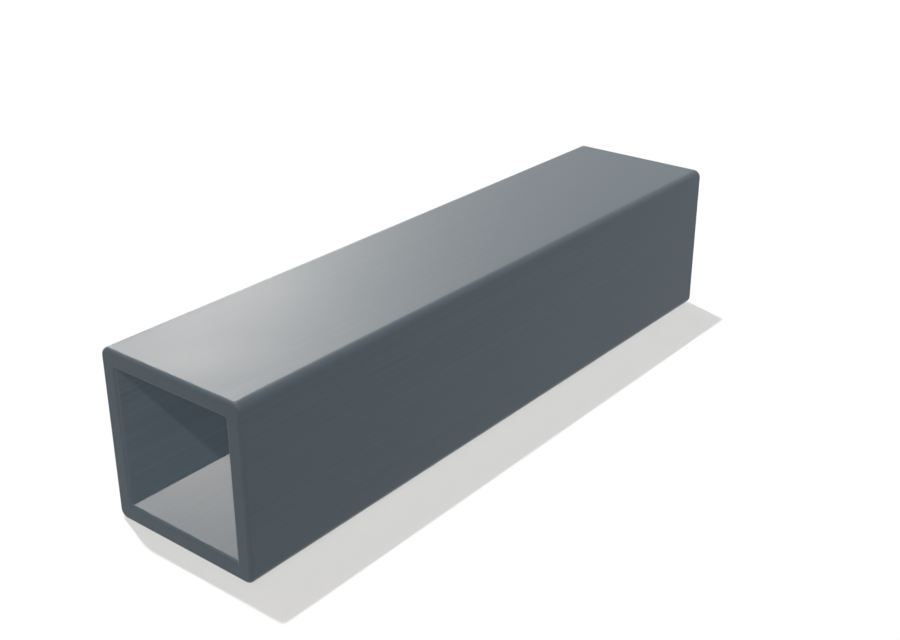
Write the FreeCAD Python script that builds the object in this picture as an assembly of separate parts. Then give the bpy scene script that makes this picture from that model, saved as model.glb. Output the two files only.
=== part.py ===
"""Square metal tube: one cut length of thick-walled square hollow section.

The tube lies on its flat underside. +X runs along the length, +Y across it and +Z
up. The origin is the centre of the underside, on the floor. All sizes are in mm.
"""

import FreeCAD
import Part
import math
import os

# Section of the tube
outside_width = 50.0        # across the flats, the same both ways
wall = 5.0                  # thickness of each of the four walls
corner_radius = 2.5         # round along the four long outside corners
bore_corner_radius = 0.3    # round along the four long corners inside the bore

# Length as cut, and the eased edges at both cut ends
length = 217.0
rim_radius = 1.0            # round where an end face meets the outside
mouth_radius = 1.0          # round where an end face meets the bore

# Share of the wall that one round at the end may take, so that a flat ring is left
# between the rim's round and the mouth's round on a thinner wall
round_share_of_wall = 0.45

# Anything thinner than this along the tube lies flat across it
flat_across = 0.001

axis_direction = FreeCAD.Vector(1, 0, 0)
centre_height = outside_width / 2
bore_width = outside_width - 2 * wall

# On a thin tube the bore's corner opens up with the outside corner, so that the wall
# keeps its thickness round the bend
bore_radius = max(bore_corner_radius, corner_radius - wall)


def rounded_square(width, radius, x):
    """Closed outline in the plane at x: four flat sides joined by quarter rounds.

    One side and the round that follows it are drawn at the right, and turned about
    the tube's axis by quarter turns for the other three.
    """
    centre = FreeCAD.Vector(x, 0, centre_height)
    half = width / 2
    straight = half - radius
    diagonal = straight + radius * math.sqrt(0.5)

    def point(across, up):
        return centre + FreeCAD.Vector(0, across, up)

    side = Part.LineSegment(point(half, -straight), point(half, straight))
    corner = Part.Arc(point(half, straight), point(diagonal, diagonal), point(straight, half))
    edges = [
        curve.toShape().rotated(centre, axis_direction, quarter * 90)
        for quarter in range(4)
        for curve in (side, corner)
    ]
    return Part.Wire(edges)


def square_bar(width, radius, bar_length):
    """Solid bar of rounded square section on the tube's axis, centred on its length."""
    section = Part.Face(rounded_square(width, radius, -bar_length / 2))
    return section.extrude(axis_direction * bar_length)


def end_faces(tube):
    """The two cut ends, the only faces that lie flat across the tube."""
    return [face for face in tube.Faces if face.BoundBox.XLength < flat_across]


def rim_edges(tube):
    """Edges where the end faces meet the outside."""
    return [edge for face in end_faces(tube) for edge in face.OuterWire.Edges]


def mouth_edges(tube):
    """Edges where the end faces meet the bore."""
    return [
        edge
        for face in end_faces(tube)
        for wire in face.Wires
        if not wire.isSame(face.OuterWire)
        for edge in wire.Edges
    ]


def square_tube():
    """The whole tube: a bar with its bore cut right through and its cut ends eased.

    The rim's round runs on round the long corners and the mouth's round follows the
    bore's corners, so that each is one unbroken soft edge.
    """
    outside = square_bar(outside_width, corner_radius, length)
    bore = square_bar(bore_width, bore_radius, length + 2 * wall)
    tube = outside.cut(bore)

    largest_round = round_share_of_wall * wall
    tube = tube.makeFillet(min(rim_radius, largest_round), rim_edges(tube))
    tube = tube.makeFillet(min(mouth_radius, largest_round), mouth_edges(tube))
    return tube.Solids[0]


os.makedirs("parts", exist_ok=True)
tube = square_tube()
tube.exportStep("parts/square_tube.step")

box = tube.optimalBoundingBox(True, False)
print("square_tube: %.2f x %.2f x %.2f mm" % (box.XLength, box.YLength, box.ZLength))
print("volume %.1f mm3, valid %s" % (tube.Volume, tube.isValid()))
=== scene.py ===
"""Square metal tube: the visible surface, its satin painted finish and a plain studio."""

import math
from typing import NamedTuple

import bpy
import numpy as np
from bpy.props import FloatProperty, FloatVectorProperty, IntProperty, PointerProperty
from bpy.types import Operator, Panel, PropertyGroup
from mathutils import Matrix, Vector


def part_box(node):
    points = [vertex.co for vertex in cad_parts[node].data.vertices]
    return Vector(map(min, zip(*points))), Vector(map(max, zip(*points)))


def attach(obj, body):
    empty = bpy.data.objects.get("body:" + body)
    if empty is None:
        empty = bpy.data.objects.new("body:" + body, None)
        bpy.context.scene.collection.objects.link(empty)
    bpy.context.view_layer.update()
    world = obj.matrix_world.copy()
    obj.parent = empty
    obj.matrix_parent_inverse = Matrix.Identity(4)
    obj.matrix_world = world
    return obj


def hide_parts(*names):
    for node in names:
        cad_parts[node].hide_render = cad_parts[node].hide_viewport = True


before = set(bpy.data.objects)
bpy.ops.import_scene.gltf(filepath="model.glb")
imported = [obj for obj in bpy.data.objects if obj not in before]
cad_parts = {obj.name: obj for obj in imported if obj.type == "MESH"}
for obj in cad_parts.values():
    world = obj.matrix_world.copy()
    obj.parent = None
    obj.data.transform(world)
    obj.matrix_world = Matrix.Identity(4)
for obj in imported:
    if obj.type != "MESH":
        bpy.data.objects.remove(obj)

bl_info = {
    "name": "Square Metal Tube",
    "version": (1, 0, 0),
    "blender": (4, 5, 0),
    "location": "3D View > Sidebar > Tube",
    "description": "A cut length of square hollow section in satin blue-grey, in a plain studio",
    "category": "Add Mesh",
}

NODE = "square_tube"
SKIN = "square_tube_skin"
BODY = "root"

# Size of one cell of each noise in the finish, in metres along x, y and z
CLOUD = (0.045, 0.033, 0.033)
FINE_LINE = (0.25, 0.0009, 0.0009)
BROAD_LINE = (0.17, 0.0024, 0.0024)
SAW_MARK = (0.0033, 0.0006, 0.017)
GRAIN = (0.0004, 0.0004, 0.0004)

# Octaves of the clouds and of the finer noises, and the middle of a noise's range
CLOUD_DETAIL = 4.0
MARK_DETAIL = 2.0
NOISE_MIDDLE = 0.5

# Lean of the saw's marks on the cut ends
SAW_LEAN = math.radians(24)

# Width of the photograph in pixels, and of the camera's sensor in millimetres
PHOTO_WIDTH = 900
SENSOR_WIDTH = 36.0

# Nearest distance that the camera sees, in metres
NEAREST = 0.01

# Radius of the floor in metres, wide enough for views that look down on the tube, and
# the number of its sides
FLOOR_RADIUS = 30.0
FLOOR_SIDES = 64

LOWEST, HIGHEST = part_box(NODE)
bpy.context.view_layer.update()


class Lamp(NamedTuple):
    """A sun lamp: the way its light travels, its spread in degrees and what it does."""

    name: str
    travel: tuple
    spread: float
    gleams: bool = False
    warm: bool = False
    shadow: bool = False


# A lamp has the name of its strength in StudioLook
LAMPS = (
    Lamp("gleam", (-0.5641, -0.7221, -0.369), 5, gleams=True, warm=True),
    Lamp("wide_gleam", (-0.5792, -0.5792, -0.5736), 100, gleams=True, warm=True),
    Lamp("sky_fill", (0, 0, -1), 179.9),
    Lamp("side_fill", (0, 1, 0), 120),
    Lamp("end_fill", (1, 0, 0), 120),
    Lamp("side_sun", (0.535, 0.464, -0.700), 1, gleams=True, shadow=True),
    Lamp("top_sun", (-0.112, -0.339, -1), 1.2, gleams=True, shadow=True),
)


class TubeShape(PropertyGroup):
    """Sizes of the tube that its surface is worked out from."""

    length: FloatProperty(
        name="Length", description="Cut length of the tube",
        default=HIGHEST.x - LOWEST.x, unit="LENGTH",
    )
    width: FloatProperty(
        name="Outside width", description="Width across the flats, the same both ways",
        default=HIGHEST.y - LOWEST.y, unit="LENGTH",
    )
    wall: FloatProperty(
        name="Wall", description="Thickness of each wall",
        default=0.005, unit="LENGTH",
    )
    corner_radius: FloatProperty(
        name="Corner radius", description="Round along the four long outside corners",
        default=0.0025, unit="LENGTH",
    )
    bore_radius: FloatProperty(
        name="Bore corner radius", description="Round along the four long corners of the bore",
        default=0.0003, unit="LENGTH",
    )
    rim_radius: FloatProperty(
        name="Rim radius", description="Round where a cut end meets the outside",
        default=0.001, unit="LENGTH",
    )
    mouth_radius: FloatProperty(
        name="Mouth radius", description="Round where a cut end meets the bore",
        default=0.001, unit="LENGTH",
    )
    corner_steps: IntProperty(
        name="Corner steps", description="Facets round each long corner",
        default=12, min=2,
    )
    edge_steps: IntProperty(
        name="Edge steps", description="Facets round each eased edge of a cut end",
        default=8, min=2,
    )
    length_steps: IntProperty(
        name="Length steps", description="Facets along the tube",
        default=48, min=2,
    )
    flat_steps: IntProperty(
        name="Flat steps", description="Facets across each flat side",
        default=10, min=1,
    )


class TubeFinish(PropertyGroup):
    """Colours, gloss and fine marks of the paint and of the steel that shows through it."""

    outside: FloatVectorProperty(
        name="Outside", description="Colour of the outside and of the cut ends",
        default=(0.0551, 0.0731, 0.0873), subtype="COLOR", size=3,
    )
    # Painted light: the bore's colour is paler than the outside's to lift the shade inside the
    # tube
    bore: FloatVectorProperty(
        name="Bore", description="Colour of the bore, where the paint is a little paler",
        default=(0.0945, 0.119, 0.1395), subtype="COLOR", size=3,
    )
    roughness: FloatProperty(
        name="Roughness", description="Middle value of the roughness",
        default=0.5, subtype="FACTOR",
    )
    gloss: FloatProperty(
        name="Gloss", description="Level of the mirror reflection",
        default=0.3, subtype="FACTOR",
    )
    cloud_tone: FloatProperty(
        name="Clouds", description="How far the tone drifts in slow clouds",
        default=0.20, subtype="FACTOR",
    )
    cloud_roughness: FloatProperty(
        name="Cloud roughness", description="How far the roughness drifts with the clouds",
        default=0.08, subtype="FACTOR",
    )
    line_tone: FloatProperty(
        name="Draw lines", description="How far the tone changes from line to line along the tube",
        default=0.24, subtype="FACTOR",
    )
    line_roughness: FloatProperty(
        name="Line roughness", description="How far the roughness changes from line to line",
        default=0.035, subtype="FACTOR",
    )
    broad_share: FloatProperty(
        name="Broad lines", description="Strength of the broad draw lines beside the fine ones",
        default=0.7, subtype="FACTOR",
    )
    grain_roughness: FloatProperty(
        name="Grain roughness", description="How far the roughness changes from grain to grain",
        default=0.06, subtype="FACTOR",
    )
    grain_height: FloatProperty(
        name="Grain height", description="Height of the paint's grain beside the lines' depth",
        default=0.4, subtype="FACTOR",
    )
    line_depth: FloatProperty(
        name="Line depth", description="Depth of the lines left by drawing and of the saw's marks",
        default=0.000015, unit="LENGTH", precision=6,
    )
    edge_polish: FloatProperty(
        name="Edge polish", description="How much smoother the rubbed edges are",
        default=0.08, subtype="FACTOR",
    )
    bore_polish: FloatProperty(
        name="Bore polish", description="How much smoother the bore is",
        default=0.032, subtype="FACTOR",
    )


class StudioLook(PropertyGroup):
    """Camera, lamps and floor."""

    camera_place: FloatVectorProperty(
        name="Camera", description="Place of the camera",
        default=(-0.27847, -0.22134, 0.18926), subtype="TRANSLATION", size=3,
    )
    camera_heading: FloatProperty(
        name="Heading", description="Turn of the view from the tube's length",
        default=math.radians(38.484), subtype="ANGLE",
    )
    camera_tilt: FloatProperty(
        name="Tilt", description="How far the view looks down",
        default=math.radians(24.786), subtype="ANGLE",
    )
    focal_pixels: FloatProperty(
        name="Focal length", description="Focal length in pixels of the photograph",
        default=1282.3, subtype="PIXEL",
    )
    ambient: FloatProperty(
        name="Ambient", description="Strength of the world's even light",
        default=0.15,
    )
    gleam: FloatProperty(
        name="Gleam", description="Strength of the low lamp whose gleam lies on the top",
        default=1.315,
    )
    wide_gleam: FloatProperty(
        name="Wide gleam", description="Strength of the broad lamp round the low one",
        default=0.34,
    )
    gleam_colour: FloatVectorProperty(
        name="Gleam colour", description="Slightly warm colour of those two lamps",
        default=(1.0, 0.945, 0.896), subtype="COLOR", size=3,
    )
    sky_fill: FloatProperty(
        name="Sky fill", description="Strength of the even light from the whole upper half",
        default=0.99,
    )
    side_fill: FloatProperty(
        name="Side fill", description="Strength of the soft level lamp before the long side",
        default=0.713,
    )
    end_fill: FloatProperty(
        name="End fill", description="Strength of the soft level lamp before the cut end",
        default=0.862,
    )
    side_sun: FloatProperty(
        name="Side sun", description="Strength of the hard lamp that shines into the bore",
        default=0.84,
    )
    top_sun: FloatProperty(
        name="Top sun", description="Strength of the lamp above, which casts the floor's shadow",
        default=1.78,
    )
    floor_colour: FloatVectorProperty(
        name="Floor", description="Colour of the floor as the eye sees it",
        default=(0.674, 0.674, 0.674), subtype="COLOR", size=3,
    )
    floor_bounce: FloatVectorProperty(
        name="Floor bounce", description="Colour of the floor as it lights what stands on it",
        default=(0.096, 0.096, 0.096), subtype="COLOR", size=3,
    )


class Signal:
    """A socket's value, so that shader maths reads as arithmetic."""

    def __init__(self, graph, socket):
        self.graph = graph
        self.socket = socket

    def __add__(self, other):
        return self.graph.maths("ADD", self, other)

    def __sub__(self, other):
        return self.graph.maths("SUBTRACT", self, other)

    def __rsub__(self, other):
        return self.graph.maths("SUBTRACT", other, self)

    def __mul__(self, other):
        return self.graph.maths("MULTIPLY", self, other)

    __radd__ = __add__
    __rmul__ = __mul__


class Graph:
    """The nodes of one material or world, empty at first."""

    def __init__(self, owner):
        owner.use_nodes = True
        self.tree = owner.node_tree
        self.tree.nodes.clear()

    def add(self, kind, settings=None, output=0, **values):
        """A node of that type: its settings first, then its sockets' values or links.

        A socket is named with underscores for spaces, or by in_ and its number.
        """
        node = self.tree.nodes.new(kind)
        for key, value in (settings or {}).items():
            setattr(node, key, value)
        for key, value in values.items():
            number = key.removeprefix("in_")
            name = int(number) if number.isdigit() else key.replace("_", " ")
            if isinstance(value, Signal):
                self.tree.links.new(value.socket, node.inputs[name])
            else:
                node.inputs[name].default_value = value
        return Signal(self, node.outputs[output]) if len(node.outputs) else None

    def maths(self, operation, a, b):
        """A Math node on two values."""
        return self.add("ShaderNodeMath", {"operation": operation}, in_0=a, in_1=b)


def rounded_squares(half, radius, shape):
    """Rounded squares in (y, z), one row for each half width and radius, with normals.

    Formula: a point runs round a square of half width half - radius and stands off it
    by radius times the unit normal. The normal is square to the side along each flat,
    and turns evenly through a quarter turn at each corner.
    """
    flat = np.linspace(-1, 1, shape.flat_steps + 1)
    turn = np.linspace(0, math.pi / 2, shape.corner_steps + 1)[1:-1]
    along = np.tile(np.concatenate([flat, np.ones_like(turn)]), 4)
    angle = np.tile(np.concatenate([np.zeros_like(flat), turn]), 4)
    quarter = np.repeat(np.arange(4) * math.pi / 2, len(flat) + len(turn))

    core = (half - radius)[:, None]
    normal_y, normal_z = np.cos(quarter + angle), np.sin(quarter + angle)
    y = core * (np.cos(quarter) - along * np.sin(quarter)) + radius[:, None] * normal_y
    z = core * (np.sin(quarter) + along * np.cos(quarter)) + radius[:, None] * normal_z
    return y, z, normal_y, normal_z


def wall_path(shape):
    """The closed path round the wall, seen along the tube: one value for each station.

    Formula: along the outside, a quarter circle round the rim, straight in across the
    cut end, a quarter circle round the mouth, back along the bore, and the same at the
    other end. Gives x, the inset from the outside, the corner radius there, and the
    normal's parts along x and away from the tube's axis. The corner radius is the
    outside's less the inset, or the bore's and as much more as the mouth has opened.
    """
    rim, mouth = shape.rim_radius, shape.mouth_radius
    half_length = shape.length / 2
    run = np.linspace(-1, 1, shape.length_steps + 1)[1:-1]
    turn = np.linspace(0, math.pi / 2, shape.edge_steps + 1)

    end_along = np.concatenate([np.sin(turn), np.cos(turn)])
    end_away = np.concatenate([np.cos(turn), -np.sin(turn)])
    end_round = np.repeat([rim, mouth], len(turn))
    end_x = half_length - end_round + end_round * end_along
    end_inset = np.concatenate([
        rim - rim * np.cos(turn),
        shape.wall - mouth + mouth * np.sin(turn),
    ])

    still = np.zeros_like(run)
    x = np.concatenate([
        run * (half_length - rim), end_x, -run * (half_length - mouth), -end_x[::-1],
    ])
    inset = np.concatenate([still, end_inset, still + shape.wall, end_inset[::-1]])
    along = np.concatenate([still, end_along, still, -end_along[::-1]])
    away = np.concatenate([still + 1, end_away, still - 1, end_away[::-1]])
    outside = inset < shape.wall / 2
    radius = np.where(outside, shape.corner_radius - inset, shape.bore_radius + shape.wall - inset)
    return x, inset, radius, along, away


def closed_grid(name, points, normals):
    """A smooth mesh on a grid of points that closes on itself both ways.

    Formula: each face joins a point, the next one of its row and the same two of the
    next row. The first point follows the last, and the first row the last one.
    """
    stations, around = points.shape[:2]
    number = np.arange(stations * around).reshape(stations, around)
    turned = np.roll(number, -1, axis=1)
    corners = [number, turned, np.roll(turned, -1, axis=0), np.roll(number, -1, axis=0)]
    faces = np.stack(corners, axis=-1).reshape(-1, 4)

    mesh = bpy.data.meshes.new(name)
    mesh.from_pydata(points.reshape(-1, 3).tolist(), [], faces.tolist())
    mesh.shade_smooth()
    mesh.normals_split_custom_set_from_vertices(normals.reshape(-1, 3).tolist())
    return mesh


def tube_mesh(shape):
    """The tube's whole skin as one closed grid: round the section by round the wall.

    Formula: each station of the wall's path is a rounded square, inset from the outside
    by the path's inset, and the grid closes on itself both ways, so it has no seam.

    Three shares are kept on its points for the finish: how far a point faces along the
    tube, how far it lies in the bore, and how far it is round an outside edge, which is
    twice the product of the normal's two parts there, one in the middle of the round
    and nothing on a flat.
    """
    x, inset, radius, along, away = wall_path(shape)
    y, z, out_y, out_z = rounded_squares(shape.width / 2 - inset, radius, shape)
    x, along, away = (np.broadcast_to(path[:, None], y.shape) for path in (x, along, away))
    points = np.stack([x, y, z + shape.width / 2], axis=-1)
    normals = np.stack([along, away * out_y, away * out_z], axis=-1)
    mesh = closed_grid(SKIN, points, normals)

    outside = (inset < shape.wall / 2)[:, None]
    corner = np.abs(2 * out_y * out_z) * outside
    zones = {
        "cut_end": np.abs(along),
        # The bore's share lays on the paler bore colour, which is painted light, and the bore's
        # smoother roughness
        "bore": (1 - np.abs(along)) * ~outside,
        "rubbed_edge": np.abs(2 * along * away) + np.abs(away) * corner,
    }
    for name, share in zones.items():
        layer = mesh.attributes.new(name, "FLOAT", "POINT")
        layer.data.foreach_set("value", np.clip(share, 0, 1).ravel().astype(np.float32))
    return mesh


def satin_material(finish):
    """Satin blue-grey paint over drawn steel, with painted light in the bore, whose colour is made
    paler to lift the shade inside it.

    Formula: each noise is less its middle value, so that it only moves the tone, the
    roughness and the height up and down. The clouds are slow and nearly round. The draw
    lines are a fine and a broad noise drawn out along the tube, and the saw's marks one
    drawn out up the cut ends and leaning.
    """
    material = bpy.data.materials.new("satin_paint")
    graph = Graph(material)
    place = graph.add("ShaderNodeTexCoord", output="Object")

    def zone(name):
        return graph.add("ShaderNodeAttribute", {"attribute_name": name}, output="Fac")

    def noise(cell, lean=0.0, detail=MARK_DETAIL):
        where = graph.add(
            "ShaderNodeMapping", {"vector_type": "TEXTURE"},
            Vector=place, Rotation=(lean, 0, 0), Scale=cell,
        )
        return graph.add("ShaderNodeTexNoise", Vector=where, Scale=1, Detail=detail) - NOISE_MIDDLE

    cut, bore, edge = zone("cut_end"), zone("bore"), zone("rubbed_edge")
    clouds = noise(CLOUD, detail=CLOUD_DETAIL)
    lines = noise(FINE_LINE) + noise(BROAD_LINE) * finish.broad_share
    marks = noise(SAW_MARK, lean=SAW_LEAN)
    grain = noise(GRAIN)
    marking = lines * (1 - cut) + marks * cut

    # The bore takes its paler colour here: painted light that lifts the shade inside the tube
    # The Mix node's colours are its inputs 6 and 7 and its output 2
    paint = graph.add(
        "ShaderNodeMix", {"data_type": "RGBA"}, output=2,
        in_0=bore, in_6=(*finish.outside, 1), in_7=(*finish.bore, 1),
    )
    tone = 1 + clouds * finish.cloud_tone + marking * finish.line_tone
    colour = graph.add("ShaderNodeVectorMath", {"operation": "SCALE"}, in_0=paint, Scale=tone)
    roughness = (
        finish.roughness + clouds * finish.cloud_roughness + marking * finish.line_roughness
        + grain * finish.grain_roughness - edge * finish.edge_polish - bore * finish.bore_polish
    )
    height = graph.add(
        "ShaderNodeBump", Strength=1, Distance=finish.line_depth,
        Height=marking + grain * finish.grain_height,
    )
    shader = graph.add(
        "ShaderNodeBsdfPrincipled",
        Base_Color=colour,
        Roughness=roughness,
        Specular_IOR_Level=finish.gloss,
        Normal=height,
    )
    graph.add("ShaderNodeOutputMaterial", Surface=shader)
    return material


class OBJECT_OT_square_tube(Operator):
    """Build the tube's visible surface in place of its plain solid"""

    bl_idname = "object.square_tube"
    bl_label = "Square tube"

    def execute(self, context):
        scene = context.scene
        tube = bpy.data.objects.new(SKIN, tube_mesh(scene.tube_shape))
        scene.collection.objects.link(tube)
        tube.data.materials.append(satin_material(scene.tube_finish))
        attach(tube, BODY)
        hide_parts(NODE)
        return {"FINISHED"}


def add_sun(scene, look, lamp):
    """A sun lamp at its strength, turned the way its light travels.

    One that casts no shadow shines through the walls. Scattered rays that meet a lamp
    are stopped by the walls, so they don't count for such a lamp.
    """
    light = bpy.data.lights.new(lamp.name, "SUN")
    light.energy = getattr(look, lamp.name)
    light.angle = math.radians(lamp.spread)
    light.use_shadow = lamp.shadow
    light.cycles.use_multiple_importance_sampling = lamp.shadow
    if lamp.warm:
        light.color = look.gleam_colour
    sun = bpy.data.objects.new(lamp.name, light)
    sun.visible_glossy = lamp.gleams
    sun.rotation_mode = "QUATERNION"
    sun.rotation_quaternion = Vector(lamp.travel).to_track_quat("-Z", "Y")
    scene.collection.objects.link(sun)


def add_camera(scene, look):
    """The photograph's camera."""
    data = bpy.data.cameras.new("photo_camera")
    data.sensor_width = SENSOR_WIDTH
    data.lens = look.focal_pixels * SENSOR_WIDTH / PHOTO_WIDTH
    data.clip_start = NEAREST
    camera = bpy.data.objects.new("photo_camera", data)
    level = math.cos(look.camera_tilt)
    view = Vector((
        level * math.cos(look.camera_heading),
        level * math.sin(look.camera_heading),
        -math.sin(look.camera_tilt),
    ))
    camera.location = look.camera_place
    camera.rotation_mode = "QUATERNION"
    camera.rotation_quaternion = view.to_track_quat("-Z", "Y")
    scene.collection.objects.link(camera)
    scene.camera = camera


def on_rays(graph, *kinds):
    """One on rays of those kinds and nothing on the others."""
    return sum(graph.add("ShaderNodeLightPath", output="Is %s Ray" % kind) for kind in kinds)


def add_floor(scene, look):
    """A round pale floor that the tube lies on, wide enough to fill the view.

    The eye sees it pale with the tube's shadow on it, reflections see it white, and it
    throws only a dim light back on what is matt.
    """
    around = np.linspace(0, 2 * math.pi, FLOOR_SIDES, endpoint=False)
    edge = np.stack([np.cos(around), np.sin(around), np.zeros_like(around)], axis=-1)
    mesh = bpy.data.meshes.new("studio_floor")
    mesh.from_pydata((FLOOR_RADIUS * edge).tolist(), [], [list(range(FLOOR_SIDES))])

    material = bpy.data.materials.new("pale_floor")
    graph = Graph(material)
    dim = graph.add("ShaderNodeBsdfDiffuse", Color=(*look.floor_bounce, 1))
    pale = graph.add("ShaderNodeBsdfDiffuse", Color=(*look.floor_colour, 1))
    white = graph.add("ShaderNodeEmission", Color=(1, 1, 1, 1), Strength=1)
    seen, mirrored = on_rays(graph, "Camera", "Transmission"), on_rays(graph, "Glossy")
    matt = graph.add("ShaderNodeMixShader", in_0=seen, in_1=dim, in_2=pale)
    surface = graph.add("ShaderNodeMixShader", in_0=mirrored, in_1=matt, in_2=white)
    graph.add("ShaderNodeOutputMaterial", Surface=surface)

    mesh.materials.append(material)
    floor = bpy.data.objects.new("studio_floor", mesh)
    scene.collection.objects.link(floor)


def add_world(scene, look):
    """White to the eye and in reflections, and an even pale light on what is matt."""
    world = bpy.data.worlds.new("studio_world")
    graph = Graph(world)
    plain = graph.add("ShaderNodeBackground", Color=(1, 1, 1, 1), Strength=look.ambient)
    white = graph.add("ShaderNodeBackground", Color=(1, 1, 1, 1), Strength=1)
    seen = on_rays(graph, "Camera", "Glossy", "Transmission")
    surface = graph.add("ShaderNodeMixShader", in_0=seen, in_1=plain, in_2=white)
    graph.add("ShaderNodeOutputWorld", Surface=surface)
    scene.world = world


class SCENE_OT_plain_studio(Operator):
    """Set up the floor, the world, the lamps and the photograph's camera"""

    bl_idname = "scene.plain_studio"
    bl_label = "Plain studio"

    def execute(self, context):
        scene, look = context.scene, context.scene.studio_look
        add_floor(scene, look)
        add_world(scene, look)
        for lamp in LAMPS:
            add_sun(scene, look, lamp)
        add_camera(scene, look)
        scene.view_settings.view_transform = "Standard"
        return {"FINISHED"}


class VIEW3D_PT_square_tube(Panel):
    """The tube's sizes, its finish and the studio"""

    bl_label = "Square tube"
    bl_space_type = "VIEW_3D"
    bl_region_type = "UI"
    bl_category = "Tube"

    def draw(self, context):
        scene = context.scene
        for group, operator in (
            (scene.tube_shape, OBJECT_OT_square_tube),
            (scene.tube_finish, None),
            (scene.studio_look, SCENE_OT_plain_studio),
        ):
            column = self.layout.column(align=True)
            for name in group.__annotations__:
                column.prop(group, name)
            if operator:
                self.layout.operator(operator.bl_idname)


CLASSES = (
    TubeShape,
    TubeFinish,
    StudioLook,
    OBJECT_OT_square_tube,
    SCENE_OT_plain_studio,
    VIEW3D_PT_square_tube,
)


def register():
    """Make Blender know the classes, and give a scene its three groups."""
    for part in CLASSES:
        bpy.utils.register_class(part)
    bpy.types.Scene.tube_shape = PointerProperty(type=TubeShape)
    bpy.types.Scene.tube_finish = PointerProperty(type=TubeFinish)
    bpy.types.Scene.studio_look = PointerProperty(type=StudioLook)


def unregister():
    """Take the groups and the classes away again, the last one first."""
    del bpy.types.Scene.studio_look
    del bpy.types.Scene.tube_finish
    del bpy.types.Scene.tube_shape
    for part in reversed(CLASSES):
        bpy.utils.unregister_class(part)


def main():
    """Build the tube and its studio."""
    register()
    bpy.ops.object.square_tube()
    bpy.ops.scene.plain_studio()


if __name__ == "__main__":
    main()
